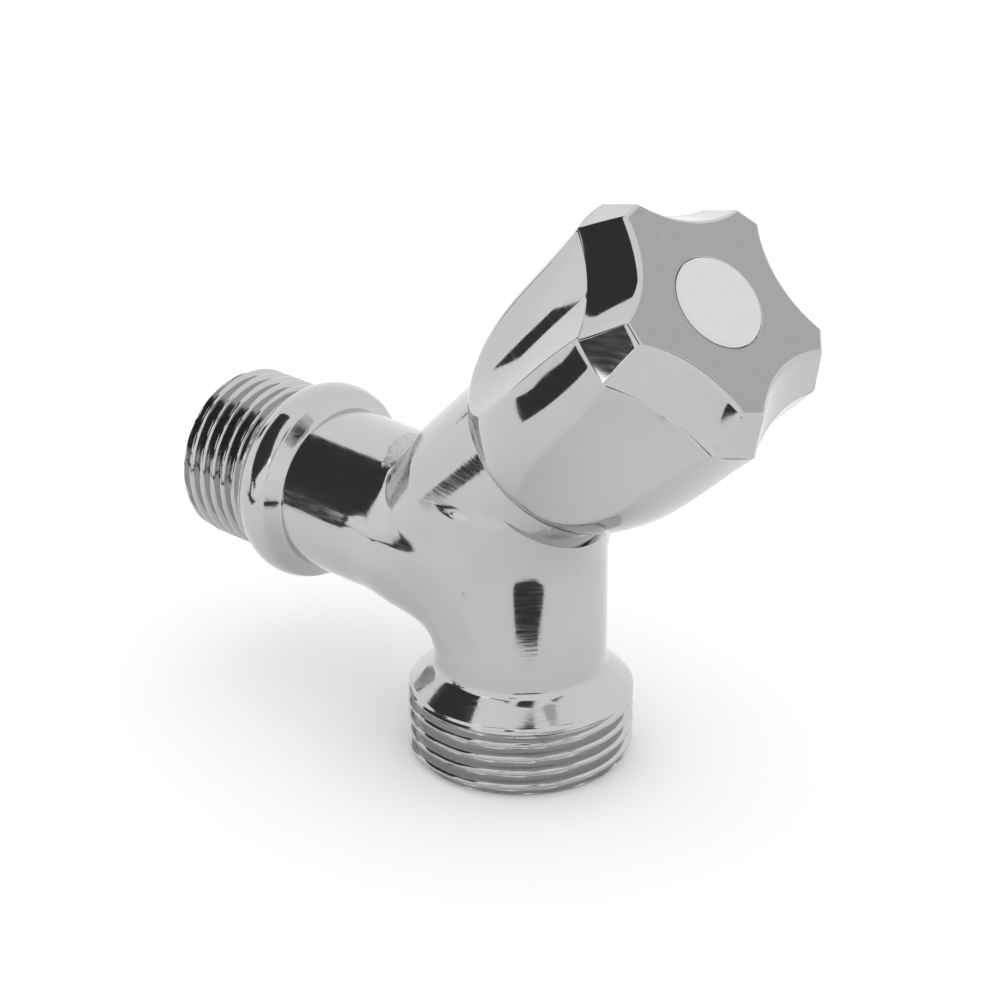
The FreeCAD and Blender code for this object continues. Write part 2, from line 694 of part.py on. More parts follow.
def make_handle_skirt():
    """Bell turned to a bulging outline, scooped by five flutes, hollow, with a central boss."""
    rim = size("rim_height")
    parting = size("parting_height")
    body = turned_body("handle_skirt", [
        (ZERO, rim), (size("rim_radius"), rim),
        ("arc", size("belly_radius"), size("belly_height")),
        (size("lobe_radius"), parting), (ZERO, parting)])
    scoop = body_sketch(body, "flute_section", "XY_Plane", height=size("flute_bend_height"))
    crest = size("flute_crest_radius")
    radius = size("flute_radius")
    middle = crest + radius
    pivot = crest - size("flute_bend_radius")
    scoop.addGeometry(Part.Circle(Vector(middle.value, 0, 0), Vector(0, 0, 1), radius.value), False)
    scoop.addConstraint(Sketcher.Constraint("Radius", 0, radius.value))
    scoop.setExpression("Constraints[0]", radius.formula)
    place(scoop, 0, 3, (middle, ZERO))
    axle = scoop.addGeometry(Part.LineSegment(
        Vector(pivot.value, -crest.value, 0), Vector(pivot.value, crest.value, 0)), True)
    place(scoop, axle, 1, (pivot, crest * -1))
    place(scoop, axle, 2, (pivot, crest))
    flute = body.newObject("PartDesign::Groove", "flute")
    flute.Profile = scoop
    flute.ReferenceAxis = (scoop, ["Axis0"])
    bind(flute, "Angle", size("flute_sweep"))
    flute.Midplane = True
    body.Tip = flute
    around(body, flute, size("lobe_count"))
    inside = size("skirt_hollow_radius")
    web = size("skirt_web_foot")
    web_top = size("skirt_web_top")
    boss_foot = size("boss_foot")
    hollow = body_sketch(body, "skirt_hollow", "XZ_Plane", [
        (ZERO, rim - PAST), (inside, rim - PAST), (inside, web), (size("boss_radius"), web),
        (size("boss_radius"), boss_foot), (size("insert_radius"), boss_foot),
        (size("insert_radius"), size("insert_top")),
        (size("screw_clearance_radius"), size("insert_top")),
        (size("screw_clearance_radius"), web_top), (size("recess_radius"), web_top),
        (size("recess_radius"), parting + PAST), (ZERO, parting + PAST)])
    bore_out = body.newObject("PartDesign::Groove", "skirt_hollow_cut")
    bore_out.Profile = hollow
    bore_out.ReferenceAxis = (hollow, ["V_Axis"])
    bore_out.Angle = FULL_TURN
    body.Tip = bore_out
    return body


def make_handle_cap():
    """Star-shaped front of the handle with flaring sides, rounded face edge and button hole."""
    parting = size("parting_height")
    face = size("face_height")
    body = doc.addObject("PartDesign::Body", "handle_cap")
    back = body_sketch(body, "cap_back", "XY_Plane", star_points(
        size("lobe_radius"), size("lobe_half_angle"), size("valley_radius")), height=parting)
    rounding = size("face_rounding")
    sections = []
    for step, (down, outward) in enumerate(EDGE_STEPS, start=1):
        spread = rounding * outward
        sections.append(body_sketch(body, f"cap_edge_{step}", "XY_Plane", star_points(
            size("face_lobe_radius") + spread, size("face_lobe_half_angle"),
            size("face_valley_radius") + spread), height=face - rounding * down))
    band = body.newObject("PartDesign::AdditiveLoft", "cap_band")
    band.Profile = back
    band.Sections = sections
    band.Ruled = True
    body.Tip = band
    foot = size("cap_spigot_foot")
    spigot_sketch = body_sketch(body, "cap_spigot_profile", "XZ_Plane", [
        (ZERO, foot), (size("cap_spigot_radius"), foot),
        (size("cap_spigot_radius"), parting + size("bore_overlap")),
        (ZERO, parting + size("bore_overlap"))])
    spigot = body.newObject("PartDesign::Revolution", "cap_spigot")
    spigot.Profile = spigot_sketch
    spigot.ReferenceAxis = (spigot_sketch, ["V_Axis"])
    spigot.Angle = FULL_TURN
    body.Tip = spigot
    hollow_radius = size("cap_hollow_radius")
    hollow_top = size("cap_hollow_top")
    seat = size("button_seat_height")
    hole = body_sketch(body, "cap_hollow", "XZ_Plane", [
        (ZERO, foot - PAST), (hollow_radius, foot - PAST), (hollow_radius, hollow_top),
        (size("button_seat_radius"), hollow_top), (size("button_seat_radius"), seat),
        (size("button_hole_radius"), seat), (size("button_hole_radius"), face + PAST),
        (ZERO, face + PAST)])
    bore_out = body.newObject("PartDesign::Groove", "cap_hollow_cut")
    bore_out.Profile = hole
    bore_out.ReferenceAxis = (hole, ["V_Axis"])
    bore_out.Angle = FULL_TURN
    body.Tip = bore_out
    return body


def make_index_button():
    """Round plug that hides the screw, nearly flush with the face, its edge bevelled."""
    radius = size("button_radius")
    leg = size("button_leg_radius")
    leg_foot = size("button_leg_foot")
    inner = leg - size("button_leg_wall")
    seat = size("button_seat_height") + size("running_gap")
    face = size("face_height")
    crown = face + size("button_crown")
    recess = seat + size("button_recess")
    return turned_body("index_button", [
        (inner, leg_foot), (leg, leg_foot), (leg, seat), (radius, seat), (radius, face),
        (radius - size("button_bevel"), crown), (ZERO, crown), (ZERO, recess),
        (inner, recess)])


def make_spline_insert():
    """Brass bush moulded into the boss, splined to fit the spindle."""
    gap = size("running_gap")
    foot = size("boss_foot") + gap
    top = size("insert_top") - gap
    sleeve = cylinder("insert_sleeve", size("insert_radius") - gap, foot, top)
    splines = spline_rod("insert_splines", size("spline_radius") + gap, foot - PAST,
                         top + PAST)
    return cut("spline_insert", sleeve, [splines])


def make_lock_washer():
    inner = size("handle_screw_radius") + size("lock_washer_clearance")
    return split_ring("lock_washer", inner, size("lock_washer_radius"), size("skirt_web_top"),
                      size("lock_washer_thickness"), size("lock_washer_gap"))


def make_handle_screw():
    """Pan-head screw with a cross recess."""
    head_foot = size("skirt_web_top") + size("lock_washer_thickness")
    head_top = head_foot + size("handle_screw_head_height")
    head = size("handle_screw_head_radius")
    shank = size("handle_screw_radius")
    tip = size("handle_screw_tip")
    point = size("screw_chamfer")
    edge = size("handle_screw_chamfer")
    screw = revolved("handle_screw_solid", [
        (ZERO, tip), (shank - point, tip), (shank, tip + point), (shank, head_foot),
        (head, head_foot), (head, head_top - edge), (head - edge, head_top), (ZERO, head_top)])
    width = size("screw_slot_width")
    length = size("cross_recess_length")
    recess_foot = head_top - size("cross_recess_depth")
    one = slot("cross_recess_one", width, length, recess_foot, head_top + PAST)
    other = slot("cross_recess_other", length, width, recess_foot, head_top + PAST)
    return cut("handle_screw", screw, [one, other])


# ---------------------------------------------------------------- assembly

in_row_frame = {"valve_body": make_valve_body()}
on_head_axis = {
    "headwork_body": make_headwork_body(), "headwork_seal": make_headwork_seal(),
    "thrust_washer": make_thrust_washer(), "spindle": make_spindle(),
    "spindle_clip": make_spindle_clip(), "plunger": make_plunger(),
    "seat_washer": make_seat_washer(), "washer_disc": make_washer_disc(),
    "washer_screw": make_washer_screw(), "spline_insert": make_spline_insert()}
on_handle = {
    "handle_skirt": make_handle_skirt(), "handle_cap": make_handle_cap(),
    "index_button": make_index_button(), "lock_washer": make_lock_washer(),
    "handle_screw": make_handle_screw()}
for part in on_head_axis.values():
    part.Placement = head_frame
for part in on_handle.values():
    part.Placement = handle_frame
o_rings = {"o_ring_lower": make_o_ring("o_ring_lower", size("o_ring_low")),
           "o_ring_upper": make_o_ring("o_ring_upper", size("o_ring_high"))}
nodes = {**in_row_frame, **on_head_axis, **on_handle, **o_rings}

doc.recompute()
for thing in doc.Objects:
    failed = [state for state in thing.State if state in ("Invalid", "Error")]
    if failed:
        raise RuntimeError(f"{thing.Name} did not compute: {failed}")
os.makedirs("parts", exist_ok=True)
for label, part in nodes.items():
    part.Label = label
    shape = part.Shape
    if shape.isNull() or not shape.isValid() or len(shape.Solids) != 1:
        raise RuntimeError(f"{label}: null, not valid, or {len(shape.Solids)} solids")
    shape.exportStep(os.path.join("parts", f"{label}.step"))
    print(f"{label}: {shape.Volume / 1000:.3f} cm3, {len(shape.Faces)} faces")
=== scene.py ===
"""Looks of the chromed hose tap: cast body, handle, small parts, studio and camera.

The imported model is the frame, in metres. The pieces made here are worked out in millimetres, as
drawings of such taps are, and scaled when they become meshes. "Height" means the distance along
the headwork's axis, from the point where it crosses the inlet's axis.
"""

import json
import math

import bmesh
import bpy
import numpy as np
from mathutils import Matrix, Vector


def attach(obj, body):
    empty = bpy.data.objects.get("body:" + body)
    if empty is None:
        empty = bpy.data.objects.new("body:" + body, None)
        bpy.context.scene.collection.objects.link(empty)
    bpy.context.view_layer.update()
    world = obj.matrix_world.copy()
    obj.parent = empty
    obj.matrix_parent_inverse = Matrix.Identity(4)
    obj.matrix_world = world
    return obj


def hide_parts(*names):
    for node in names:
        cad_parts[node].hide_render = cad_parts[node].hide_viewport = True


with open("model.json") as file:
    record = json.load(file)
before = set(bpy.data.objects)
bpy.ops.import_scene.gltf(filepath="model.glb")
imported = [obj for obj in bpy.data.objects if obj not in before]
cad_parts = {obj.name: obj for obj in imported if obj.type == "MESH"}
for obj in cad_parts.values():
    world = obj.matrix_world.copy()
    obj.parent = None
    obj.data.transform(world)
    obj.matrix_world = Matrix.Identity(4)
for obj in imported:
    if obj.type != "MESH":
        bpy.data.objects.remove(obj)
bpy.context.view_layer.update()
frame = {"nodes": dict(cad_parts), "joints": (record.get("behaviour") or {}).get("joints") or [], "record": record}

MM = 0.001
TAU = 2 * math.pi

# ---------------------------------------------------------------- places read from the frame

mounts = {mount["name"]: mount for mount in frame["record"]["mounts"]}
joints = {joint["name"]: joint for joint in frame["joints"]}
OUTLET_X = mounts["outlet_bore"]["pos_m"][0] / MM
MOUTH_Z = mounts["outlet_bore"]["pos_m"][2] / MM
HEAD_AXIS = np.array(joints["handle_turn"]["axis"])
on_axis = np.array(joints["handle_turn"]["pos_m"]) / MM
HEAD_FOOT = on_axis - HEAD_AXIS * (on_axis[2] / HEAD_AXIS[2])
HEAD_LEFT = np.array([0.0, 1.0, 0.0])
HEAD_FRONT = np.cross(HEAD_LEFT, HEAD_AXIS)

INLET_THREAD = mounts["inlet_thread"]["dims"]["r_mm"]
OUTLET_THREAD = mounts["outlet_thread"]["dims"]["r_mm"]
INLET_BORE = mounts["inlet_bore"]["dims"]["r_mm"]
OUTLET_BORE = mounts["outlet_bore"]["dims"]["r_mm"]
INLET_BORE_LENGTH = mounts["inlet_bore"]["dims"]["length_mm"]
OUTLET_BORE_LENGTH = mounts["outlet_bore"]["dims"]["length_mm"]

# ---------------------------------------------------------------- sizes in mm

PITCH = 1.814
THREAD_DEPTH = 0.64 * PITCH
THREAD_CHAMFER = 1.0
PIPE = 9.93
TUBE = 10.04
TUBE_TOP = 8.0
ELBOW = 13.4
ELBOW_RELIEF = 0.05
BARREL_FOOT = 9.85
BARREL = 11.12
BARREL_TAPER = 10.0
BARREL_TOP = 26.2
LAND_FOOT = 20.1
SEAT_HEIGHT = 8.0
SEAT_BORE = 5.25
SEAT_LIP = 6.4
SEAT_LIP_RISE = 1.0
SEAT_LIP_SLOPE = 0.3
SEAT_WALL = 7.5
CHAMBER = 8.6
MOUTH_CHAMFER = 0.6
WAY_STEP = 0.25
INLET_WAY_SHORT = 9.5
OUTLET_WAY_TOP = 6.0

FILLET = 3.0
CROTCH = 0.5
NET_STEP = 0.45
NET_LOW = np.array([17.9, -13.5, -11.9])
NET_HIGH = np.array([67.0, 13.5, 30.0])

CREST_FLAT = 0.16
ROOT_FLAT = 0.14
FLANK_HOLLOW = 0.08
CREST_WEAR = 0.012
THREAD_ROWS = 16
END_COLUMNS = 220
INLET_RUN_OUT = 10.75
OUTLET_RUN_OUT = 8.4
END_HOLE = 3.0
END_BEVEL = 0.6


# ---------------------------------------------------------------- mesh helpers

def mesh_piece(name, points, faces, sharp=None):
    """A mesh object from points in mm; edges steeper than sharp degrees stay crisp."""
    data = bpy.data.meshes.new(name)
    data.from_pydata([tuple(p) for p in np.asarray(points) * MM], [], [list(f) for f in faces])
    piece = bpy.data.objects.new(name, data)
    bpy.context.scene.collection.objects.link(piece)
    turned_outward(piece)
    shade_smooth(piece, sharp)
    return piece


def turned_outward(piece):
    work = bmesh.new()
    work.from_mesh(piece.data)
    bmesh.ops.recalc_face_normals(work, faces=work.faces)
    work.to_mesh(piece.data)
    work.free()


def shade_smooth(piece, sharp=None):
    piece.data.polygons.foreach_set("use_smooth", [True] * len(piece.data.polygons))
    if sharp is not None:
        piece.data.set_sharp_from_angle(angle=math.radians(sharp))
    piece.data.update()


def grid_faces(rows, columns, closed_rows=False, first=0):
    """Quads of a grid whose columns close on themselves, and its rows too if asked."""
    row, column = np.meshgrid(
        np.arange(rows if closed_rows else rows - 1), np.arange(columns), indexing="ij")
    right, next_row = (column + 1) % columns, (row + 1) % rows
    corners = [row * columns + column, row * columns + right,
               next_row * columns + right, next_row * columns + column]
    return np.stack([c.ravel() for c in corners], axis=1) + first


def laid_round(radii, heights, angles, origin, axis, start):
    """Points at radii and heights round an axis; each of the arrays is rows by columns."""
    side = np.cross(axis, start)
    outward = np.cos(angles)[..., None] * start + np.sin(angles)[..., None] * side
    return origin + heights[..., None] * axis + radii[..., None] * outward


def solid_of_revolution(name, profile, origin, axis, start, columns=160, sharp=35):
    """A closed solid turned from (radius, height) points, the first and last on the axis."""
    radii, heights = np.array(profile[1:-1]).T
    angles = np.linspace(0, TAU, columns, endpoint=False)
    shape = (len(radii), columns)
    ring = laid_round(np.broadcast_to(radii[:, None], shape),
                      np.broadcast_to(heights[:, None], shape),
                      np.broadcast_to(angles, shape), origin, axis, start)
    rows = len(radii)
    points = np.vstack([ring.reshape(-1, 3), origin + profile[0][1] * axis,
                        origin + profile[-1][1] * axis])
    faces = [list(f) for f in grid_faces(rows, columns)]
    faces += fan(0, columns, rows * columns) + fan((rows - 1) * columns, columns,
                                                   rows * columns + 1)
    return mesh_piece(name, points, faces, sharp)


def fan(first, count, centre):
    return [[first + c, first + (c + 1) % count, centre] for c in range(count)]


def combine(base, tool, operation):
    """Boolean of two closed pieces; the tool is used up."""
    step = base.modifiers.new("combine", "BOOLEAN")
    step.operation = operation
    step.object = tool
    step.solver = "MANIFOLD"
    graph = bpy.context.evaluated_depsgraph_get()
    result = bpy.data.meshes.new_from_object(base.evaluated_get(graph))
    base.modifiers.clear()
    base.data = result
    bpy.data.objects.remove(tool)
    return base


def arc(start, through, end, count):
    """Points on the circle through three (radius, height) points, both ends included."""
    (ax, ay), (bx, by), (cx, cy) = start, through, end
    twice = 2 * (ax * (by - cy) + bx * (cy - ay) + cx * (ay - by))
    a, b, c = ax * ax + ay * ay, bx * bx + by * by, cx * cx + cy * cy
    mx = (a * (by - cy) + b * (cy - ay) + c * (ay - by)) / twice
    my = (a * (cx - bx) + b * (ax - cx) + c * (bx - ax)) / twice
    radius = math.hypot(ax - mx, ay - my)
    first, middle, last = (math.atan2(y - my, x - mx)
                           for x, y in (start, through, end))
    middle = first + (middle - first + math.pi) % TAU - math.pi
    last = middle + (last - middle + math.pi) % TAU - math.pi
    return [(mx + radius * math.cos(t), my + radius * math.sin(t))
            for t in np.linspace(first, last, count)]


def softened(profile, cut, steps=3):
    """Round every inner corner of a profile by a small Bezier that starts cut before it."""
    points = [np.array(p, float) for p in profile]
    made = [points[0]]
    for before, corner, after in zip(points, points[1:], points[2:]):
        one, two = before - corner, after - corner
        reach = min(cut, 0.4 * np.linalg.norm(one), 0.4 * np.linalg.norm(two))
        one, two = (corner + v / np.linalg.norm(v) * reach for v in (one, two))
        for t in np.linspace(0, 1, steps):
            made.append((1 - t) ** 2 * one + 2 * t * (1 - t) * corner + t * t * two)
    return made + [points[-1]]


# ---------------------------------------------------------------- implicit casting

def surface_net(field, low, high, step):
    """Quads that close round the inside of a field (negative inside), drawn onto its zero."""
    axes = [np.arange(a, b + step, step) for a, b in zip(low, high)]
    grid = np.stack(np.meshgrid(*axes, indexing="ij"), axis=-1)
    value = field(grid)
    counts = np.array(value.shape) - 1
    inside = value < 0
    corners = [(i, j, k) for i in (0, 1) for j in (0, 1) for k in (0, 1)]
    total = sum(inside[i:i + counts[0], j:j + counts[1], k:k + counts[2]].astype(int)
                for i, j, k in corners)
    mixed = np.argwhere((total > 0) & (total < len(corners)))
    number = -np.ones(counts, int)
    number[tuple(mixed.T)] = np.arange(len(mixed))
    summed = np.zeros((len(mixed), 3))
    crossings = np.zeros(len(mixed))
    for corner in corners:
        for axis in range(3):
            if corner[axis]:
                continue
            other = tuple(c + (a == axis) for a, c in enumerate(corner))
            one = tuple((mixed + corner).T)
            two = tuple((mixed + other).T)
            cross = inside[one] != inside[two]
            share = np.where(cross, value[one] / np.where(cross, value[one] - value[two], 1), 0)
            point = grid[one] + share[:, None] * (grid[two] - grid[one])
            summed += np.where(cross[:, None], point, 0)
            crossings += cross
    points = pulled_onto(field, summed / crossings[:, None])
    faces = []
    for axis in range(3):
        u, v = (axis + 1) % 3, (axis + 2) % 3
        below = np.take(inside, np.arange(value.shape[axis] - 1), axis)
        above = np.take(inside, np.arange(1, value.shape[axis]), axis)
        cells = np.argwhere(below != above)
        cells = cells[(cells[:, u] > 0) & (cells[:, v] > 0)
                      & (cells[:, u] < counts[u]) & (cells[:, v] < counts[v])]
        unit_u, unit_v = np.eye(3, dtype=int)[u], np.eye(3, dtype=int)[v]
        faces.append(np.stack([number[tuple(c.T)] for c in (
            cells - unit_u - unit_v, cells - unit_v, cells, cells - unit_u)], axis=1))
    return points, np.vstack(faces)


def slope(field, points, reach=0.01):
    """Gradient of a field by central differences."""
    parts = []
    for unit in np.eye(3):
        parts.append((field(points + unit * reach) - field(points - unit * reach)) / (2 * reach))
    return np.stack(parts, axis=-1)


def pulled_onto(field, points, rounds=4):
    for _ in range(rounds):
        gradient = slope(field, points)
        steepness = np.maximum((gradient ** 2).sum(-1, keepdims=True), 0.05)
        points = points - field(points)[..., None] * gradient / steepness
    return points


def blend_union(one, other, radius):
    """Smooth union whose inner corners are rounded to about the radius."""
    u = np.maximum(radius - one, 0)
    v = np.maximum(radius - other, 0)
    return np.maximum(radius, np.minimum(one, other)) - np.hypot(u, v)


def along_head(points):
    """Height along the headwork's axis and distance from it."""
    offset = points - HEAD_FOOT
    height = offset @ HEAD_AXIS
    return height, np.linalg.norm(offset - height[..., None] * HEAD_AXIS, axis=-1)


def casting(points):
    """Field of the cast body: pipe, elbow, tube and barrel, blended as a foundry pattern is."""
    x, y, z = points[..., 0], points[..., 1], points[..., 2]
    pipe = np.maximum(np.hypot(y, z) - PIPE, x - OUTLET_X)
    tube = np.maximum(np.hypot(x - OUTLET_X, y) - TUBE, z - TUBE_TOP)
    ring = np.hypot(x - (OUTLET_X - ELBOW), z + ELBOW) - ELBOW
    elbow = np.hypot(ring, y) - (PIPE - ELBOW_RELIEF)
    elbow = np.maximum(elbow, np.maximum(OUTLET_X - ELBOW - x, -ELBOW - z))
    height, reach = along_head(points)
    taper = BARREL_FOOT + (BARREL - BARREL_FOOT) * np.clip(height / BARREL_TAPER, 0, 1)
    barrel = np.where(height > 0, reach - taper, np.hypot(reach, height) - BARREL_FOOT)
    below = np.minimum(blend_union(pipe, tube, FILLET), elbow)
    upper_side = np.clip((z - 2) / 5, 0, 1) * np.clip((OUTLET_X - x) / 6, 0, 1)
    radius = FILLET + (CROTCH - FILLET) * upper_side
    whole = blend_union(below, barrel, radius)
    return np.maximum(whole, height - BARREL_TOP - 1)


# ---------------------------------------------------------------- body

def thread_cut(heights, angles, run_out):
    """How deep a right-hand thread is cut at each height and angle, fading over its last turn."""
    phase = (heights / PITCH - angles / TAU) % 1
    off_crest = 1 - np.abs(2 * phase - 1)
    flank = np.clip((off_crest - CREST_FLAT) / (1 - CREST_FLAT - ROOT_FLAT), 0, 1)
    flank = flank - FLANK_HOLLOW * np.sin(TAU * flank)
    fade = np.clip((run_out - heights) / (0.5 * PITCH), 0, 1)
    return THREAD_DEPTH * flank * fade


def threaded_end(thread, run_out, plain, origin, axis, start):
    """Rows of points from the end face's middle out, over the thread and along the plain profile."""
    rows = max(2, int(run_out / PITCH * THREAD_ROWS))
    heights = np.concatenate([[0.0, 0.0], np.linspace(0, run_out, rows),
                              [h for r, h in plain]])
    radii = np.concatenate([[END_HOLE, thread - THREAD_CHAMFER - END_BEVEL], np.full(rows, thread),
                            [r for r, h in plain]])
    angles = np.linspace(0, TAU, END_COLUMNS, endpoint=False)
    shape = (len(heights), END_COLUMNS)
    heights = np.broadcast_to(heights[:, None], shape)
    angles = np.broadcast_to(angles, shape)
    radii = np.broadcast_to(radii[:, None], shape).copy()
    threaded = slice(2, 2 + rows)
    cut = thread_cut(heights[threaded], angles[threaded], run_out)
    chamfer = thread - THREAD_CHAMFER + heights[threaded] * 0.9
    radii[threaded] = np.minimum(thread - cut, np.maximum(chamfer, thread - THREAD_CHAMFER))
    noise = np.random.default_rng(7).normal(0, 1, (rows, END_COLUMNS))
    radii[threaded] -= CREST_WEAR * np.abs(noise) * (cut < 0.2 * THREAD_DEPTH)
    points = laid_round(radii, heights, angles, origin, axis, start)
    return points.reshape(-1, 3), shape[0]


def ring_angles(points, origin, axis, start):
    side = np.cross(axis, start)
    offset = points - origin
    return np.arctan2(offset @ side, offset @ start) % TAU


def zipped(one, one_angles, other, other_angles):
    """Triangles between two rings of point numbers whose angles rise round a common axis."""
    i = j = 0
    faces = []
    while i < len(one) or j < len(other):
        next_one = one_angles[(i + 1) % len(one)] + TAU * ((i + 1) // len(one))
        next_other = other_angles[(j + 1) % len(other)] + TAU * ((j + 1) // len(other))
        a, b = one[i % len(one)], other[j % len(other)]
        if j >= len(other) or (i < len(one) and next_one < next_other):
            faces.append([a, b, one[(i + 1) % len(one)]])
            i += 1
        else:
            faces.append([a, b, other[(j + 1) % len(other)]])
            j += 1
    return faces


def open_ring(faces, points, axis, level):
    """Numbers of the points along the net's open edge at one end of it, in walking order."""
    edges = np.sort(np.vstack([faces[:, [0, 1]], faces[:, [1, 2]], faces[:, [2, 3]],
                               faces[:, [3, 0]]]), axis=1)
    edges, uses = np.unique(edges, axis=0, return_counts=True)
    rim = edges[uses == 1]
    rim = rim[np.all(np.abs(points[rim, axis] - level) < 2 * NET_STEP, axis=1)]
    beside = {}
    for a, b in rim.tolist():
        beside.setdefault(a, []).append(b)
        beside.setdefault(b, []).append(a)
    ring = [int(rim[0, 0])]
    ahead = beside[ring[0]][0]
    while ahead != ring[0]:
        ring.append(ahead)
        ahead = next(n for n in beside[ahead] if n != ring[-2])
    return np.array(ring)


def from_least_angle(ring, angles):
    """A walked ring turned round and started so that its angles rise from the smallest."""
    if np.sum(np.diff(angles) > 0) < len(ring) / 2:
        ring, angles = ring[::-1], angles[::-1]
    start = np.argmin(angles)
    ring, angles = np.roll(ring, -start), np.roll(angles, -start)
    return ring, np.maximum.accumulate(angles)


def inlet_profile():
    """Collar from the end of the thread: bulge, sharp edge, bevel and the start of the pipe."""
    bulge = arc((10.5, 10.95), (12.15, 14.35), (11.72, 16.15), 26)
    foot = softened([bulge[-1], (11.55, 16.3), (10.3, 17.15), (9.93, 17.45), (9.93, 17.7)],
                    0.25, 4)
    return bulge[:-1] + [tuple(p) for p in foot]


def outlet_profile():
    """Conical shoulder above the hose thread, hollowed where it meets the tube."""
    neck = softened([(13.1, 8.5), (12.95, 8.62), (12.82, 8.95), (10.75, 10.85), (10.25, 11.4),
                     (TUBE + 0.03, 11.95), (TUBE, 12.25)], 0.6, 6)
    return [tuple(p) for p in neck]


def make_tap_body():
    """The casting with its two threaded ends, its machined land and its waterways."""
    net, quads = surface_net(casting, NET_LOW, NET_HIGH, NET_STEP)
    points, faces = [net], [list(f) for f in quads]
    first = len(net)
    ends = (
        (INLET_THREAD, INLET_RUN_OUT, inlet_profile(), np.zeros(3), np.array([1.0, 0, 0]),
         np.array([0, 0, 1.0]), 0),
        (OUTLET_THREAD, OUTLET_RUN_OUT, outlet_profile(), np.array([OUTLET_X, 0, MOUTH_Z]),
         np.array([0, 0, 1.0]), np.array([1.0, 0, 0]), 2))
    for thread, run_out, profile, origin, axis, start, number in ends:
        end, rows = threaded_end(thread, run_out, profile, origin, axis, start)
        points.append(end)
        faces += [list(f) for f in grid_faces(rows, END_COLUMNS, first=first)]
        faces += [list(range(first, first + END_COLUMNS))]
        last = np.arange(END_COLUMNS) + first + (rows - 1) * END_COLUMNS
        rim = open_ring(quads, net, number, NET_LOW[number])
        rim, rim_angles = from_least_angle(rim, ring_angles(net[rim], origin, axis, start))
        faces += zipped(rim, rim_angles, last, np.linspace(0, TAU, END_COLUMNS, endpoint=False))
        first += len(end)
    tap = mesh_piece("tap_body", np.vstack(points), faces)
    for tool in (make_land_cutter(), *make_waterways()):
        combine(tap, tool, "DIFFERENCE")
    shade_smooth(tap, 28)
    return tap


def make_land_cutter():
    """What the lathe takes off below the handle: a narrow land, and the barrel's top face."""
    return solid_of_revolution("land_cutter", [
        (0, BARREL_TOP), (BARREL + 0.02, BARREL_TOP), (BARREL + 0.02, LAND_FOOT),
        (20, LAND_FOOT), (20, BARREL_TOP + 6), (0, BARREL_TOP + 6)],
        HEAD_FOOT, HEAD_AXIS, HEAD_FRONT, 240)


def make_waterways():
    """Inlet bore, outlet bore, and the chamber with its seat under the headwork."""
    inlet = solid_of_revolution("inlet_way", [
        (0, -1), (INLET_BORE + MOUTH_CHAMFER, -1), (INLET_BORE + MOUTH_CHAMFER, 0),
        (INLET_BORE, MOUTH_CHAMFER),
        (INLET_BORE, INLET_BORE_LENGTH), (INLET_BORE - WAY_STEP, INLET_BORE_LENGTH),
        (INLET_BORE - WAY_STEP, OUTLET_X - INLET_WAY_SHORT), (0, OUTLET_X - INLET_WAY_SHORT)],
        np.zeros(3), np.array([1.0, 0, 0]), np.array([0, 0, 1.0]), 96)
    outlet = solid_of_revolution("outlet_way", [
        (0, -1), (OUTLET_BORE + MOUTH_CHAMFER, -1), (OUTLET_BORE + MOUTH_CHAMFER, 0),
        (OUTLET_BORE, MOUTH_CHAMFER),
        (OUTLET_BORE, OUTLET_BORE_LENGTH), (OUTLET_BORE - WAY_STEP, OUTLET_BORE_LENGTH),
        (OUTLET_BORE - WAY_STEP, OUTLET_WAY_TOP - MOUTH_Z), (0, OUTLET_WAY_TOP - MOUTH_Z)],
        np.array([OUTLET_X, 0, MOUTH_Z]), np.array([0, 0, 1.0]), np.array([1.0, 0, 0]), 96)
    wall = solid_of_revolution("seat_wall", [
        (0, -14), (SEAT_WALL, -14), (SEAT_WALL, SEAT_HEIGHT), (0, SEAT_HEIGHT)],
        HEAD_FOOT, HEAD_AXIS, HEAD_FRONT, 96)
    combine(outlet, wall, "DIFFERENCE")
    chamber = solid_of_revolution("chamber", [
        (0, -2), (SEAT_BORE, -2), (SEAT_BORE, SEAT_HEIGHT), (SEAT_LIP, SEAT_HEIGHT),
        (SEAT_LIP + SEAT_LIP_SLOPE, SEAT_HEIGHT - SEAT_LIP_RISE),
        (CHAMBER, SEAT_HEIGHT - SEAT_LIP_RISE), (CHAMBER, BARREL_TOP + 1), (0, BARREL_TOP + 1)],
        HEAD_FOOT, HEAD_AXIS, HEAD_FRONT, 96)
    return inlet, outlet, chamber


# ---------------------------------------------------------------- handle

LOBES = 5
SECTOR = TAU / LOBES
HANDLE_TURN = math.radians(16)
RIM = 24.2
PARTING = 51.1
FACE = 56.2
LOBE = 16.2
VALLEY = 13.35
LOBE_HALF = math.radians(9.7)
FACE_LOBE = 13.5
FACE_VALLEY = 9.9
FACE_LOBE_HALF = math.radians(5.7)
FLUTE = 19.2
FLUTE_CREST = 13.45
FLUTE_BEND = 206.0
FLUTE_BEND_HEIGHT = 44.5
FLUTE_ROUNDING = 0.3
CORNER_ROUNDING = 0.16
HAIRLINE = 0.12

SKIRT_HOLLOW = 11.45
WEB_FOOT = 47.3
WEB_TOP = 49.6
BOSS = 6.5
BOSS_FOOT = 41.2
INSERT = 5.0
INSERT_TOP = 47.2
SCREW_WAY = 2.3
RECESS = 11.5

EDGE_CUT = 0.6
EDGE_INSET = 0.42
EDGE_STEPS = 10
BUTTON_HOLE = 5.5
BUTTON_SEAT = 54.9
BUTTON_SEAT_HOLE = 4.6
CAP_HOLLOW = 9.6
CAP_HOLLOW_TOP = 54.2
SPIGOT = 11.42
SPIGOT_FOOT = 49.8

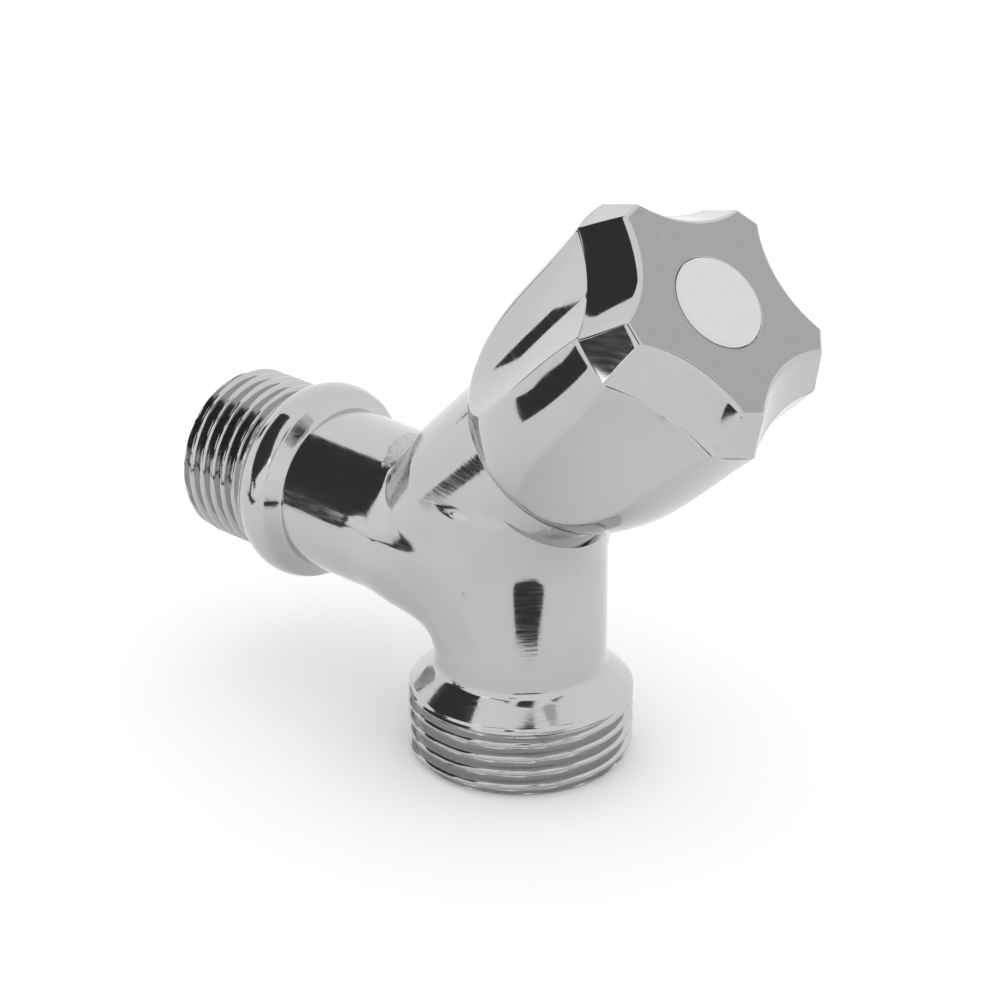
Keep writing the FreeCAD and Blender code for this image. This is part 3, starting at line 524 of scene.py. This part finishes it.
LOBE_STEPS, FLUTE_STEPS = ((16, 22))
SKIRT_ROWS = 70


def soft_min(one, other, reach):
    """The smaller of two lengths, rounded where they are within reach of each other."""
    near = np.maximum(reach - np.abs(one - other), 0) / reach
    return np.minimum(one, other) - near * near * reach / 4


def flute_radius(around, heights):
    """Distance from the handle's axis to the bent cutter, at an angle from the flute's middle."""
    low = np.full(np.broadcast(around, heights).shape, 5.0)
    high = np.full(low.shape, 24.0)
    pivot = FLUTE_CREST - FLUTE_BEND
    for _ in range(44):
        middle = (low + high) / 2
        across = np.hypot(middle * np.cos(around) - pivot, heights - FLUTE_BEND_HEIGHT)
        gap = np.hypot(across - FLUTE_BEND - FLUTE, middle * np.sin(around)) - FLUTE
        low = np.where(gap > 0, middle, low)
        high = np.where(gap > 0, high, middle)
    return middle


def skirt_outline(count):
    """Turned outline of the bell from the parting line down to the rim: radius and height."""
    heights = np.linspace(PARTING, RIM, count)
    share = (heights - RIM) / (PARTING - RIM)
    measured = np.polyfit([0, 0.2, 0.4, 0.6, 0.8, 1.0], [12.0, 14.0, 15.0, 15.4, 15.7, 16.15], 4)
    return np.polyval(measured, share), heights


def sector_columns(crease, lobe_steps, flute_steps):
    """Angles round the handle for one row of points, gathered beside the ten creases."""
    ease = np.linspace(0, 1, flute_steps + 1)[:-1]
    flute = crease * np.sin(ease * math.pi / 2)
    ease = np.linspace(0, 1, lobe_steps + 1)
    lobe = crease + (SECTOR / 2 - crease) * (1 - np.cos(ease * math.pi / 2))
    half = np.concatenate([flute, lobe])
    whole = np.concatenate([half[:-1], SECTOR - half[::-1][:-1]])
    return (whole[None, :] + SECTOR * np.arange(LOBES)[:, None]).ravel()


def off_valley(angles):
    """Angle from the middle of the nearest flute."""
    return np.abs((angles + SECTOR / 2) % SECTOR - SECTOR / 2)


def crease_angle(radius, height):
    """Where the flute's surface leaves the turned outline, at one height."""
    tried = np.linspace(math.radians(2), SECTOR / 2, 400)
    inside = flute_radius(tried, np.full(tried.shape, height)) < radius
    return tried[np.argmin(inside)] if inside[0] else tried[0]


def make_skirt():
    """Bell-shaped part of the handle, scooped by five flutes, with its hollow and boss."""
    radii, heights = skirt_outline(SKIRT_ROWS)
    heights[0] -= HAIRLINE
    rows = []
    for radius, height in zip(radii, heights):
        angles = sector_columns(crease_angle(radius, height), LOBE_STEPS, FLUTE_STEPS)
        around = off_valley(angles)
        flute = flute_radius(around, np.full(around.shape, height))
        rows.append((soft_min(np.full(around.shape, radius), flute, FLUTE_ROUNDING),
                     np.full(around.shape, height), angles))
    top_radius, _, top_angles = rows[0]
    rim_radius, rim_height, rim_angles = rows[-1]
    rows[-1] = (rim_radius, rim_height + HAIRLINE, rim_angles)
    inner = [(11.88, RIM), (SKIRT_HOLLOW + HAIRLINE, RIM), (SKIRT_HOLLOW, RIM + HAIRLINE),
             (SKIRT_HOLLOW, WEB_FOOT), (BOSS, WEB_FOOT), (BOSS, BOSS_FOOT), (INSERT, BOSS_FOOT),
             (INSERT, INSERT_TOP), (SCREW_WAY, INSERT_TOP), (SCREW_WAY, WEB_TOP),
             (RECESS, WEB_TOP), (RECESS, PARTING)]
    for radius, height in inner:
        rows.append((np.full(rim_angles.shape, radius), np.full(rim_angles.shape, height),
                     rim_angles))
    rows.append((top_radius - HAIRLINE, np.full(top_angles.shape, PARTING), top_angles))
    return handle_piece("skirt", rows, 30)


def handle_piece(name, rows, sharp):
    """A ring-shaped solid from closed rows of (radii, heights, angles)."""
    radii, heights, angles = (np.stack(part) for part in zip(*rows))
    points = laid_round(radii, heights, angles + HANDLE_TURN, HEAD_FOOT, HEAD_AXIS, HEAD_FRONT)
    faces = grid_faces(*radii.shape, closed_rows=True)
    return mesh_piece(name, points.reshape(-1, 3), faces, sharp)


def star_radius(angles, lobe, half, valley):
    """Outline of the cap at one height: flat lobes and hollow arcs, the corners just rounded."""
    around = off_valley(angles)
    off_lobe = SECTOR / 2 - around
    flat = lobe * math.cos(half) / np.cos(off_lobe)
    corner = SECTOR / 2 - half
    centre = (lobe ** 2 - valley ** 2) / (2 * (lobe * math.cos(corner) - valley))
    radius = centre - valley
    sideways = np.minimum(centre * np.sin(around), radius * 0.999)
    hollow = centre * np.cos(around) - np.sqrt(radius ** 2 - sideways ** 2)
    return soft_min(flat, hollow, CORNER_ROUNDING)


def make_cap():
    """Star-shaped front of the handle: flaring band, rounded face edge, flat face, button hole."""
    def band(share):
        half = LOBE_HALF + (FACE_LOBE_HALF - LOBE_HALF) * share
        angles = sector_columns(SECTOR / 2 - half, LOBE_STEPS, FLUTE_STEPS)
        foot = star_radius(angles, LOBE, LOBE_HALF, VALLEY)
        lobe = LOBE + (FACE_LOBE - LOBE) * share
        valley = VALLEY + (FACE_VALLEY - VALLEY) * share
        radii = star_radius(angles, lobe, half, valley)
        return radii, np.full(radii.shape, PARTING + (FACE - PARTING) * share), angles

    start = 1 - EDGE_CUT / (FACE - PARTING)
    rows = [band(share) for share in np.linspace(0, start, 8)]
    rows[0] = (rows[0][0], rows[0][1] + HAIRLINE, rows[0][2])
    low, edge = rows[-1], band(1.0)
    inset = edge[0] - EDGE_INSET
    for t in np.linspace(0, 1, EDGE_STEPS)[1:]:
        keep, middle, gain = (1 - t) ** 2, 2 * t * (1 - t), t * t
        rows.append(tuple(keep * low[n] + middle * edge[n] + gain * (inset, edge[1], edge[2])[n]
                          for n in range(3)))
    face_row = rows[-1]
    even = face_row[2]
    for share in (0.25, 0.5, 0.75):
        rows.append((face_row[0] + (BUTTON_HOLE + 0.1 - face_row[0]) * share, face_row[1], even))
    inner = [(BUTTON_HOLE + 0.1, FACE), (BUTTON_HOLE, FACE - 0.1), (BUTTON_HOLE, BUTTON_SEAT),
             (BUTTON_SEAT_HOLE, BUTTON_SEAT), (BUTTON_SEAT_HOLE, CAP_HOLLOW_TOP),
             (CAP_HOLLOW - 0.6, CAP_HOLLOW_TOP), (CAP_HOLLOW, CAP_HOLLOW_TOP - 0.2),
             (CAP_HOLLOW, SPIGOT_FOOT), (SPIGOT, SPIGOT_FOOT), (SPIGOT, PARTING)]
    for radius, height in inner:
        rows.append((np.full(even.shape, radius), np.full(even.shape, height), even))
    rows.append((rows[0][0] - HAIRLINE, np.full(even.shape, PARTING), rows[0][2]))
    return handle_piece("cap", rows, 30)


# ---------------------------------------------------------------- materials

PATCH_MIDDLE = (0.0297, -0.0017, 0.009)
PATCH_TURN = (0.0, math.radians(-10.4), math.radians(106.1))
PATCH_REACH = (0.004, 0.0014, 0.0022)


def new_material(name, metallic, roughness):
    """A material with its node tree and shader."""
    material = bpy.data.materials.new(name)
    material.use_nodes = True
    shader = material.node_tree.nodes["Principled BSDF"]
    shader.inputs["Metallic"].default_value = metallic
    shader.inputs["Roughness"].default_value = roughness
    return material, material.node_tree, shader


def link(tree, source, target):
    tree.links.new(source, target)


def own_place(tree, stretch=(1, 1, 1), turn=(0, 0, 0)):
    """The piece's own coordinates, stretched and then turned."""
    place = tree.nodes.new("ShaderNodeTexCoord")
    mapping = tree.nodes.new("ShaderNodeMapping")
    mapping.inputs["Rotation"].default_value = turn
    mapping.inputs["Scale"].default_value = stretch
    link(tree, place.outputs["Object"], mapping.inputs["Vector"])
    return mapping.outputs["Vector"]


def grain(tree, place, scale, detail=3.0):
    """Noise with features of about 1 / scale metres."""
    noise = tree.nodes.new("ShaderNodeTexNoise")
    noise.inputs["Scale"].default_value = scale
    noise.inputs["Detail"].default_value = detail
    link(tree, place, noise.inputs["Vector"])
    return noise.outputs["Fac"]


def between(tree, amount, low, high, start=0.3, stop=0.7):
    """Noise turned into a value between two others."""
    spread = tree.nodes.new("ShaderNodeMapRange")
    spread.inputs["From Min"].default_value = start
    spread.inputs["From Max"].default_value = stop
    spread.inputs["To Min"].default_value = low
    spread.inputs["To Max"].default_value = high
    link(tree, amount, spread.inputs["Value"])
    return spread.outputs["Result"]


def tinted(tree, shader, amount, one, other):
    """Base colour wandering between two tints."""
    mix = tree.nodes.new("ShaderNodeMix")
    mix.data_type = "RGBA"
    factor, tint_one, tint_other = (s for s in mix.inputs if s.enabled)
    tint_one.default_value = (*one, 1)
    tint_other.default_value = (*other, 1)
    link(tree, amount, factor)
    link(tree, next(s for s in mix.outputs if s.enabled), shader.inputs["Base Color"])


def bumped(tree, shader, height, depth, under=None):
    """Relief of a real depth in metres, on top of another relief if there is one."""
    bump = tree.nodes.new("ShaderNodeBump")
    bump.inputs["Strength"].default_value = 1.0
    bump.inputs["Distance"].default_value = depth
    link(tree, height, bump.inputs["Height"])
    if under is not None:
        link(tree, under.outputs["Normal"], bump.inputs["Normal"])
    link(tree, bump.outputs["Normal"], shader.inputs["Normal"])
    return bump


def chrome(name, waviness, brushing, haze):
    """Bright chrome: slightly wavy metal with polishing marks round it, depths in metres."""
    material, tree, shader = new_material(name, 1.0, haze)
    place = own_place(tree)
    tinted(tree, shader, between(tree, grain(tree, place, 90), 0, 1),
           (0.465, 0.468, 0.473), (0.495, 0.497, 0.5))
    streaks = grain(tree, own_place(tree, (0.12, 0.12, 1)), 3500, 2.0)
    link(tree, between(tree, streaks, haze * 0.6, haze * 1.5), shader.inputs["Roughness"])
    wave = bumped(tree, shader, grain(tree, place, 110, 1.0), waviness)
    bumped(tree, shader, streaks, brushing, wave)
    return material, tree, shader


def chromed_brass():
    """Chrome over the casting, with the unpolished patch left where the barrel meets the pipe."""
    material, tree, shader = chrome("chromed_brass_look", 7e-5, 4.5e-6, 0.1)
    place = tree.nodes.new("ShaderNodeTexCoord")
    patch = tree.nodes.new("ShaderNodeMapping")
    patch.vector_type = "TEXTURE"
    patch.inputs["Location"].default_value = PATCH_MIDDLE
    patch.inputs["Rotation"].default_value = PATCH_TURN
    patch.inputs["Scale"].default_value = PATCH_REACH
    link(tree, place.outputs["Object"], patch.inputs["Vector"])
    away = tree.nodes.new("ShaderNodeVectorMath")
    away.operation = "LENGTH"
    link(tree, patch.outputs["Vector"], away.inputs[0])
    mask = between(tree, away.outputs["Value"], 1, 0, 0.8, 1.05)
    crust = grain(tree, own_place(tree), 1500, 5.0)
    rough = tree.nodes.new("ShaderNodeMix")
    factor, smooth_roughness, crust_roughness = (s for s in rough.inputs if s.enabled)
    link(tree, mask, factor)
    link(tree, shader.inputs["Roughness"].links[0].from_socket, smooth_roughness)
    link(tree, between(tree, crust, 0.2, 0.45), crust_roughness)
    link(tree, next(s for s in rough.outputs if s.enabled), shader.inputs["Roughness"])
    relief = tree.nodes.new("ShaderNodeMath")
    relief.operation = "MULTIPLY"
    link(tree, mask, relief.inputs[0])
    link(tree, crust, relief.inputs[1])
    under = shader.inputs["Normal"].links[0].from_node
    bumped(tree, shader, relief.outputs["Value"], 3e-4, under)
    return material


def chromed_plastic():
    material, _, _ = chrome("chromed_plastic_look", 1.6e-5, 5e-7, 0.055)
    return material


def satin_chrome():
    """Matt chrome of the handle's face: fine even grain, no clear reflections."""
    material, tree, shader = new_material("satin_chrome_look", 1.0, 0.35)
    place = own_place(tree)
    fine = grain(tree, place, 5200, 4.0)
    tinted(tree, shader, between(tree, fine, 0, 1), (0.3, 0.302, 0.305), (0.355, 0.357, 0.36))
    link(tree, between(tree, grain(tree, place, 700), 0.3, 0.42), shader.inputs["Roughness"])
    bumped(tree, shader, fine, 1.2e-5)
    return material


def plain_plastic(name, one, other, roughness, scale=600, depth=4e-6):
    """Moulded plastic or rubber: nearly even colour, fine surface unevenness."""
    material, tree, shader = new_material(name, 0.0, roughness)
    place = own_place(tree)
    tinted(tree, shader, between(tree, grain(tree, place, scale), 0, 1), one, other)
    link(tree, between(tree, grain(tree, place, scale * 2), roughness * 0.85, roughness * 1.15),
         shader.inputs["Roughness"])
    bumped(tree, shader, grain(tree, place, scale * 3), depth)
    return material


def turned_metal(name, one, other, roughness):
    """Lathe-turned metal: fine rings along the headwork's axis over a faint stain."""
    material, tree, shader = new_material(name, 1.0, roughness)
    place = own_place(tree, turn=(0, math.radians(-45), 0))
    rings = tree.nodes.new("ShaderNodeTexWave")
    rings.wave_type = "BANDS"
    rings.bands_direction = "Z"
    rings.inputs["Scale"].default_value = 1100
    rings.inputs["Distortion"].default_value = 0.6
    link(tree, place, rings.inputs["Vector"])
    tinted(tree, shader, between(tree, grain(tree, place, 260), 0, 1), one, other)
    link(tree, between(tree, grain(tree, place, 900), roughness * 0.8, roughness * 1.2),
         shader.inputs["Roughness"])
    bumped(tree, shader, rings.outputs["Fac"], 3e-6)
    return material


def make_looks():
    """One material for each slot of the record."""
    return {
        "chromed_brass": chromed_brass(),
        "chromed_plastic": chromed_plastic(),
        "white_plastic": plain_plastic("white_plastic_look", (0.57, 0.57, 0.565),
                                       (0.585, 0.585, 0.58), 0.3),
        "brass": turned_metal("brass_look", (0.72, 0.53, 0.25), (0.82, 0.63, 0.32), 0.22),
        "spring_steel": turned_metal("spring_steel_look", (0.42, 0.43, 0.45),
                                     (0.52, 0.53, 0.55), 0.3),
        "steel": turned_metal("steel_look", (0.55, 0.56, 0.58), (0.66, 0.67, 0.69), 0.28),
        "rubber": plain_plastic("rubber_look", (0.018, 0.018, 0.018), (0.035, 0.035, 0.034), 0.6),
        "fibre": plain_plastic("fibre_look", (0.34, 0.07, 0.05), (0.46, 0.12, 0.08), 0.7,
                               1500, 3e-5),
        "slide_plastic": plain_plastic("slide_plastic_look", (0.76, 0.75, 0.71), (0.8, 0.79, 0.76),
                                       0.42)}


def dress_face(piece, look):
    """Give the flat face of the cap its own look; the rounded edge keeps the chrome."""
    piece.data.materials.append(look)
    for face in piece.data.polygons:
        heights = [(np.array(piece.data.vertices[v].co) / MM - HEAD_FOOT) @ HEAD_AXIS
                   for v in face.vertices]
        if min(heights) > FACE - 0.01:
            face.material_index = 1


# ---------------------------------------------------------------- studio

CAMERA_AZIMUTH = 42.84
CAMERA_ELEVATION = 25.04
CAMERA_DISTANCE = 400
CAMERA_LENS = 124.56
AIM_LEFT = 2.44
AIM_UP = 6.97
SKY_LIGHT = 1.16
TAP_MIDDLE = Vector((45, 0, 5))
VELVET = 0.055


def make_floor():
    bpy.ops.mesh.primitive_plane_add(size=6, location=(OUTLET_X * MM, 0, MOUTH_Z * MM - 1e-5))
    floor = bpy.context.object
    floor.name = "floor"
    material, tree, shader = new_material("floor_white", 0.0, 0.9)
    tinted(tree, shader, between(tree, grain(tree, own_place(tree), 20), 0, 1),
           (0.955, 0.955, 0.955), (0.965, 0.965, 0.965))
    floor.data.materials.append(material)


def view_axes(azimuth, elevation):
    """Unit vectors towards a place on the studio's sky, to its right and upward."""
    azimuth, elevation = math.radians(azimuth), math.radians(elevation)
    back = Vector((math.sin(azimuth) * math.cos(elevation),
                   -math.cos(azimuth) * math.cos(elevation), math.sin(elevation)))
    right = Vector((math.cos(azimuth), math.sin(azimuth), 0))
    return back, right, back.cross(right)


def make_camera():
    """The photo's camera; its angles, aim and lens came from a least-squares fit to the outline."""
    data = bpy.data.cameras.new("camera")
    camera = bpy.data.objects.new("camera", data)
    bpy.context.scene.collection.objects.link(camera)
    back, right, up = view_axes(CAMERA_AZIMUTH, CAMERA_ELEVATION)
    target = Vector((OUTLET_X, 0, 0)) - AIM_LEFT * right + AIM_UP * up
    camera.location = (target + CAMERA_DISTANCE * back) * MM
    camera.rotation_mode = "QUATERNION"
    camera.rotation_quaternion = back.to_track_quat("Z", "Y")
    data.sensor_width = 36
    data.lens = CAMERA_LENS
    data.clip_start = 0.01
    bpy.context.scene.camera = camera


def make_world():
    world = bpy.data.worlds.new("studio")
    world.use_nodes = True
    world.node_tree.nodes["Background"].inputs["Color"].default_value = (1, 1, 1, 1)
    world.node_tree.nodes["Background"].inputs["Strength"].default_value = SKY_LIGHT
    bpy.context.scene.world = world


def panel(name, middle, across, upward, light, far=1.0):
    """A flat panel, in mm, that only reflections show: black velvet or a white softbox."""
    data = bpy.data.meshes.new(name)
    corners = [middle + a * across / 2 + b * upward / 2
               for a, b in ((-1, -1), (1, -far), (1, far), (-1, 1))]
    data.from_pydata([corner * MM for corner in corners], [], [(0, 1, 2, 3)])
    board = bpy.data.objects.new(name, data)
    bpy.context.scene.collection.objects.link(board)
    material = bpy.data.materials.new(name)
    material.use_nodes = True
    material.node_tree.nodes.remove(material.node_tree.nodes["Principled BSDF"])
    glow = material.node_tree.nodes.new("ShaderNodeEmission")
    glow.inputs["Strength"].default_value = light
    link(material.node_tree, glow.outputs["Emission"],
         material.node_tree.nodes["Material Output"].inputs["Surface"])
    data.materials.append(material)
    for ray in ("camera", "diffuse", "shadow", "transmission", "volume_scatter"):
        setattr(board, "visible_" + ray, False)


def hung(name, azimuth, elevation, distance, width, height, roll, light=VELVET):
    """A panel hung in the studio, facing the tap."""
    back, right, up = view_axes(azimuth, elevation)
    roll = math.radians(roll)
    across = right * math.cos(roll) + up * math.sin(roll)
    upward = up * math.cos(roll) - right * math.sin(roll)
    panel(name, TAP_MIDDLE + back * distance, across * width, upward * height, light)


def laid(name, x, y, length, width, turn, far=1.0):
    """Velvet lying on the floor, its far edge wider than the near one by a factor."""
    turn = math.radians(turn)
    along = Vector((math.cos(turn), math.sin(turn), 0))
    aside = Vector((-math.sin(turn), math.cos(turn), 0))
    panel(name, Vector((x, y, MOUTH_Z + 0.1)), along * length, aside * width, VELVET, far)


def make_panels():
    """The dark and bright panels the chrome shows.

    A separate search program found these numbers by matching reflections; they weren't worked out
    by hand or from the frame. Afterwards the two bright panels were made brighter and
    dark_slat_front taller, and dark_right_floor was placed afresh by hand with that program's data.
    """
    hung("dark_wall", -47, 35, 648, 534, 831, 42)
    laid("dark_front_floor", -55, -105, 78, 43, 16, 0.9)
    laid("dark_right_floor", 93, -38, 30, 20, -32, 3.2)
    hung("dark_low_left", -88, 11, 138, 18, 28, -29)
    hung("dark_slat_front", 14, 33, 116, 60, 16, 52)
    hung("dark_low_wall", -46, -5, 139, 19, 14, -81)
    hung("dark_upper_right", 51, 51, 416, 111, 150, 9)
    hung("pale_wall_panel", -19, 11, 114, 35, 68, -44, 1.2)
    hung("dark_right", 95, 34, 114, 33, 13, -59)
    hung("dark_slat_right", 32, 10, 181, 22, 26, 69)
    hung("dark_inner_wall", -35, 26, 167, 130, 141, 49)
    hung("softbox_front", 0, 27, 175, 24, 71, 76, 2.0)


# ---------------------------------------------------------------- assembly

def dressed(piece, body, replaced):
    """Put a piece on its moving body in place of the CAD node it refines."""
    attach(piece, body)
    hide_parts(replaced)
    piece.data.materials.clear()
    piece.data.materials.append(looks[slots[replaced]])
    return piece


bpy.context.scene.view_settings.view_transform = "Standard"
make_floor()
make_camera()
make_world()
make_panels()
looks = make_looks()
slots = {part["node"]: part["material_slot"] for part in frame["record"]["subparts"]}
dressed(make_tap_body(), "body", "valve_body")
dressed(make_skirt(), "handle", "handle_skirt")
dress_face(dressed(make_cap(), "handle", "handle_cap"), satin_chrome())
for node in frame["nodes"].values():
    node.data.materials.clear()
    node.data.materials.append(looks[slots[node.name]])
